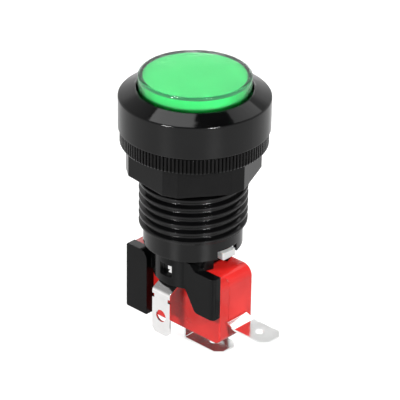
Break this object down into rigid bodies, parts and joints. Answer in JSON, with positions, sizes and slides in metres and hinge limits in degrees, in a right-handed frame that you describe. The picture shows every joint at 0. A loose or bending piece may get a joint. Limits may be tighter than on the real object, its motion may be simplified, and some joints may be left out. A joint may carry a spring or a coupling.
{
  "type": "arcade push button",
  "caption": "Round illuminated push button with a clear green cap, threaded barrel and panel nut, over a lamp holder and a red microswitch",
  "frame": {"origin": "on the barrel's axis, in the plane where the bezel seats on the panel", "axes": "+Z along the axis out of the panel to the cap, +X along the switch to its end tab, -Y the side of the lamp holder's two plates"},
  "size_m": [0.0407, 0.0328, 0.0637],
  "materials": {
    "housing_black": "glossy",
    "nut_black": "satin",
    "holder_black": "satin",
    "cap_green": "clear, tinted green",
    "diffuser_white": "matte",
    "plunger_white": "satin",
    "spring_steel": "bright",
    "lamp_white": "matte",
    "led_clear": "clear",
    "lead_tin": "bright",
    "contact_tin": "satin",
    "terminal_tin": "bright",
    "switch_red": "glossy",
    "pin_black": "satin",
    "blade_copper": "satin",
    "contact_silver": "satin"
  },
  "bodies": {
    "housing_body": {"housing": "housing_black", "lamp_holder": "holder_black", "lamp_base": "lamp_white", "led": "led_clear", "lamp_leads": "lead_tin", "lamp_contact_front": "contact_tin", "lamp_contact_back": "contact_tin", "return_spring": "spring_steel", "switch_case": "switch_red", "switch_cover": "switch_red", "com_terminal": "terminal_tin", "no_terminal": "terminal_tin", "fixed_contact": "contact_silver", "snap_blade": "blade_copper"},
    "button": {"cap": "cap_green", "diffuser": "diffuser_white", "plunger": "plunger_white"},
    "pin": {"switch_pin": "pin_black"},
    "contact": {"moving_contact": "contact_silver"},
    "panel_nut": {"nut": "nut_black"}
  },
  "joints": [
    {"name": "button_press", "type": "slide", "parent": "housing_body", "child": "button", "axis": [0, 0, -1], "range_m": [0, 0.002], "stiffness_N_per_m": 250, "springref_m": -0.003, "deforming": ["return_spring"]},
    {"name": "switch_pin_press", "type": "slide", "parent": "housing_body", "child": "pin", "axis": [0, 0, -1], "range_m": [0, 0.002], "deforming": ["snap_blade"]},
    {"name": "contact_close", "type": "slide", "parent": "housing_body", "child": "contact", "axis": [0, 0, -1], "range_m": [0, 0.0009], "deforming": ["snap_blade"]},
    {"name": "nut_travel", "type": "slide", "parent": "housing_body", "child": "panel_nut", "axis": [0, 0, -1], "range_m": [0, 0.0125]}
  ],
  "couplings": [
    {"joint": "switch_pin_press", "follows": "button_press", "ratio": 1},
    {"joint": "contact_close", "follows": "button_press", "ratio": 0.45}
  ]
}
